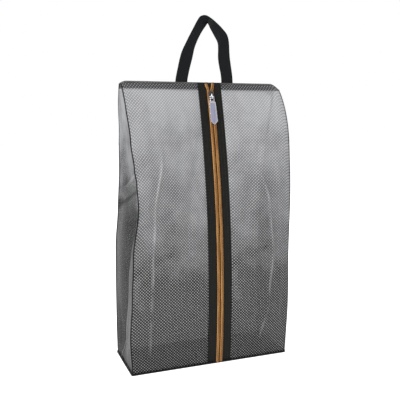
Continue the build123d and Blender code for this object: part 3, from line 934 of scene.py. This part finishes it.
# Handle: one length of 16 mm black webbing. Both ends are caught in the top seam, and the loop
# turns on itself at its peak, where the underside of the webbing shows.
web_wide, web_long, web_thick = 16.0, 244.0, 1.2
web_stations = (
    # outer edge x, z, y, then inner edge x, z, y
    (-35.5, 358.5, -0.4, -19.5, 358.5, -0.4),
    (-35.7, 371.0, -0.4, -19.6, 371.0, -0.4),
    (-32.4, 388.0, -0.6, -16.7, 385.5, -0.3),
    (-27.8, 406.0, -0.9, -12.5, 401.0, -0.2),
    (-20.6, 421.5, -2.2, -8.3, 415.5, 1.8),
    (-12.6, 436.6, -3.4, -0.4, 431.5, 3.0),
    (-4.9, 450.0, -3.8, 8.6, 444.3, 3.8),
    (-0.9, 453.3, -5.6, 9.9, 446.0, 4.9),
    (4.5, 453.4, -7.0, 11.0, 446.6, 6.0),
    (11.5, 449.9, -7.2, 12.6, 445.0, 6.0),
    (19.0, 445.2, -6.2, 15.6, 438.3, 5.0),
    (27.3, 439.6, -4.2, 19.6, 430.4, 3.6),
    (35.1, 432.4, -1.8, 23.2, 421.8, 1.4),
    (38.5, 423.0, -0.6, 23.7, 413.5, 0.0),
    (39.8, 405.5, -0.4, 23.5, 402.0, -0.4),
    (41.5, 393.5, -0.4, 25.2, 391.0, -0.4),
    (43.4, 382.0, -0.4, 27.4, 381.0, -0.4),
    (44.4, 371.0, -0.4, 28.4, 371.0, -0.4),
    (44.0, 358.5, -0.4, 28.0, 358.5, -0.4),
)


def smooth_between(stations, t):
    """The stations' numbers at t from 0 to 1, on a smooth curve through them all."""
    run, share = run_at(stations, t)
    nearest = [stations[min(max(k, 0), len(stations) - 1)] for k in range(run - 1, run + 3)]
    return [0.5 * (2 * b + (c - a) * share + (2 * a - 5 * b + 4 * c - d) * share**2
                   + (3 * b - a - 3 * c + d) * share**3) for a, b, c, d in zip(*nearest)]


def web_point(s, t):
    """Point of the webbing: from the inner edge to the outer, along from the left end."""
    ox, oz, oy, ix, iz, iy = smooth_between(web_stations, t)
    cup = -0.35 * sin(pi * s) * sin(pi * t)
    return ix + (ox - ix) * s, iy + (oy - iy) * s + cup, iz + (oz - iz) * s


def ribbed_webbing():
    """Black polyester webbing, woven with close crosswise ribs: a soft sheen and no gloss. The ribs
    are drawn 1.5 mm apart, as the real ones are too fine to show."""
    made, tree, surface = finish_named("black ribbed webbing", Roughness=0.6, Specular_IOR_Level=0.15)
    place = put(tree, "UVMap", uv_map="cloth").outputs[0]
    ribs = put(tree, "TexWave", {"Vector": place, "Scale": wave_scale(1.5), "Distortion": 0.5,
                                 "Detail Scale": 8.0}, bands_direction="Y")
    ends = put(tree, "TexWave", {"Vector": place, "Scale": wave_scale(1.1)}, bands_direction="X")
    both = put(tree, "Math", {0: ribs.outputs["Fac"], 1: ends.outputs["Fac"]}, operation="MULTIPLY")
    fade = put(tree, "TexNoise", {"Vector": place, "Scale": 70.0, "Detail": 4.0})
    worn = put(tree, "Math", {0: both.outputs[0], 1: fade.outputs["Fac"]}, operation="MULTIPLY")
    lit = put(tree, "MapRange", {"Value": worn.outputs[0], "From Max": 0.5})
    colour = put(tree, "Mix", {0: lit.outputs[0], 6: linear("#040506"), 7: linear("#15171B")},
                 data_type="RGBA")
    tree.links.new(colour.outputs[2], surface.inputs["Base Color"])
    bump = put(tree, "Bump", {"Height": both.outputs[0], "Strength": 0.6, "Distance": 0.2 * MM})
    tree.links.new(bump.outputs[0], surface.inputs["Normal"])
    return made


handle = grid_piece("webbing_handle", 10, 180, web_point, ribbed_webbing(), (web_wide, web_long))
thicken(handle, web_thick, 0.0)
round_folds(handle, 0.35)
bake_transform(handle)
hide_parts("handle_loop", "handle_end_left", "handle_end_right")

# Stitching: black polyester thread in a straight lockstitch. Two rows hold each zip tape to its
# panel, one runs along the top seam, and one goes round the base binding.
stitch_long, stitch_gap = 2.9, 0.9
stitch_step = stitch_long + stitch_gap
stitch_half, stitch_flat = 0.24, 0.8
zip_rows = (-15.2, -12.2, 12.2, 15.2)  # mm from the zip's middle
zip_row_proud, zip_row_start = 0.25, 0.1
top_row_half, top_row_below = 103, 2.6
zip_clear = 14  # mm each side of the zip's middle where the top row passes behind it
base_row_high = 1.7
base_row_long, base_row_short = (105, 42.05), (37.5, 110.1)  # half its length, mm out from the middle


def stitch_row(work, points, normals):
    """Lays one stitch between each pair of points, raised along its normal."""
    for (start, end), normal in zip(points, normals):
        start, end, normal = Vector(start), Vector(end), Vector(normal).normalized()
        along = (end - start).normalized()
        side = along.cross(normal).normalized()
        half = (end - start).length / 2
        place = facing((start + end) / 2 * MM, side * stitch_half * MM,
                       normal * stitch_half * stitch_flat * MM, along * half * MM)
        bmesh.ops.create_uvsphere(work, u_segments=6, v_segments=5, radius=1.0, matrix=place)


def zip_stitches(work):
    """Two rows along each tape, through the panel's lapped edge."""
    for across in zip_rows:
        pairs, normals = [], []
        for n in range(int(tape_long / stitch_step)):
            low = foot_angle + degrees(n * stitch_step / arc_radius) + zip_row_start
            high = low + degrees(stitch_long / arc_radius)
            pairs.append([on_zip(across, zip_row_proud, angle) for angle in (low, high)])
            normals.append((0, -cos(radians(low)), sin(radians(low))))
        stitch_row(work, pairs, normals)


def top_stitch_end(x, side):
    """Where the thread goes through the top seam: on its back, or on its front, which is full at
    the gussets and lies flatter at the zip."""
    z = crown(x) - top_row_below
    if side > 0:
        return x, -arc_line(z) + 0.1, z
    half = side_face + zip_x if x < zip_x else side_face - zip_x
    from_gusset = side_face + x if x < zip_x else side_face - x
    share = min(1.0, max(0.0, from_gusset / (half - zip_clear)))
    return x, full_line(z) + (arc_line(z) - full_line(z)) * share - 0.25, z


def top_stitches(work):
    """One row along the top seam, on the front and on the back."""
    for side in (-1, 1):
        pairs = []
        for n in range(int(2 * top_row_half / stitch_step)):
            start = n * stitch_step - top_row_half
            if side > 0 or abs(start + stitch_long / 2 - zip_x) >= zip_clear:
                pairs.append([top_stitch_end(x, side) for x in (start, start + stitch_long)])
        stitch_row(work, pairs, [(0, side, 0.3)] * len(pairs))


def base_stitches(work):
    """One row round the binding, on its outer face."""
    for side in (-1, 1):
        for (half, out), lengthwise in ((base_row_long, True), (base_row_short, False)):
            pairs = []
            for n in range(int(2 * half / stitch_step)):
                start = n * stitch_step - half
                ends = (start, start + stitch_long)
                pairs.append([(a, side * out, base_row_high) if lengthwise
                              else (side * out, a, base_row_high) for a in ends])
            stitch_row(work, pairs, [(0, side, 0) if lengthwise else (side, 0, 0)] * len(pairs))


# twisted filament: smoother than the cloth, so each stitch catches a little light
thread_finish = woven("black polyester sewing thread", "#0E0F11", "#34363B", 0.7, 0.7, 0.5,
                      folded=True)
for name, sew, slot in (("zip_stitching", zip_stitches, "zip_tape"),
                        ("top_stitching", top_stitches, "binding"),
                        ("base_stitching", base_stitches, "binding")):
    work = bmesh.new()
    sew(work)
    for face in work.faces:
        face.smooth = True
    bmesh.ops.recalc_face_normals(work, faces=work.faces)
    stitches = mesh_object(name, work, thread_finish)
    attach(stitches, "root")

# Floor, light and camera: a plain pale floor, soft studio light from above and from the left,
# and a camera a little above the middle of the bag, to its left.
floor_half = 6.0
# matt card, lit from below as well: it stays white under the bag, with a soft shadow at most
floor_finish, floor_tree, floor_surface = finish_named(
    "matt white card", Roughness=0.9, Emission_Color=(1, 1, 1, 1), Emission_Strength=0.55)
floor_grain = put(floor_tree, "TexNoise", {"Scale": 8.0, "Detail": 3.0})
floor_tint = put(floor_tree, "Mix", {0: floor_grain.outputs["Fac"], 6: linear("#F1F1F1"),
                                     7: linear("#F6F6F6")}, data_type="RGBA")
floor_tree.links.new(floor_tint.outputs[2], floor_surface.inputs["Base Color"])
floor_work = bmesh.new()
bmesh.ops.create_grid(floor_work, x_segments=1, y_segments=1, size=floor_half)
floor = mesh_object("floor", floor_work, floor_finish)

world = bpy.data.worlds.new("studio")
bpy.context.scene.world = world
world.use_nodes = True
sky = world.node_tree
sky.nodes.clear()
ray = put(sky, "LightPath")
upward = put(sky, "SeparateXYZ", {0: put(sky, "TexCoord").outputs["Generated"]})
fall = put(sky, "MapRange", {"Value": upward.outputs["Z"], "From Min": -0.2, "From Max": 0.8,
                             "To Min": 0.22, "To Max": 0.75})
level = put(sky, "Mix", {0: ray.outputs["Is Camera Ray"], 2: fall.outputs[0], 3: 1.0},
            data_type="FLOAT")
glow = put(sky, "Background", {"Color": (1, 1, 1, 1), "Strength": level.outputs[0]})
put(sky, "OutputWorld", {0: glow.outputs[0]})


def soft_box(name, place, aim, wide, power):
    """A square soft box at a place, turned to face a point."""
    lamp = bpy.data.lights.new(name, "AREA")
    lamp.shape, lamp.size, lamp.energy = "SQUARE", wide, power
    box = bpy.data.objects.new(name, lamp)
    box.location = place
    box.rotation_euler = (Vector(aim) - Vector(place)).to_track_quat("-Z", "Y").to_euler()
    bpy.context.scene.collection.objects.link(box)


bag_middle = (0, 0, 0.2)
soft_box("key", (-1.3, -0.9, 1.3), (0, 0, 0.28), 0.8, 26.0)
soft_box("fill", (1.5, -1.0, 0.9), bag_middle, 1.2, 5.0)
soft_box("top", (0.1, 0.3, 1.9), bag_middle, 1.3, 10.0)

camera_down, camera_right = 8.045, 20.77  # degrees below the level and to the right
camera = bpy.data.objects.new("camera", bpy.data.cameras.new("camera"))
camera.location = (-0.2782, -0.7289, 0.3247)
camera.rotation_euler = (radians(90 - camera_down), 0, radians(-camera_right))
camera.data.sensor_width = 36.0
camera.data.lens = 52.70
camera.data.clip_start, camera.data.clip_end = 0.01, 50.0
bpy.context.scene.collection.objects.link(camera)
bpy.context.scene.camera = camera

bpy.context.view_layer.update()
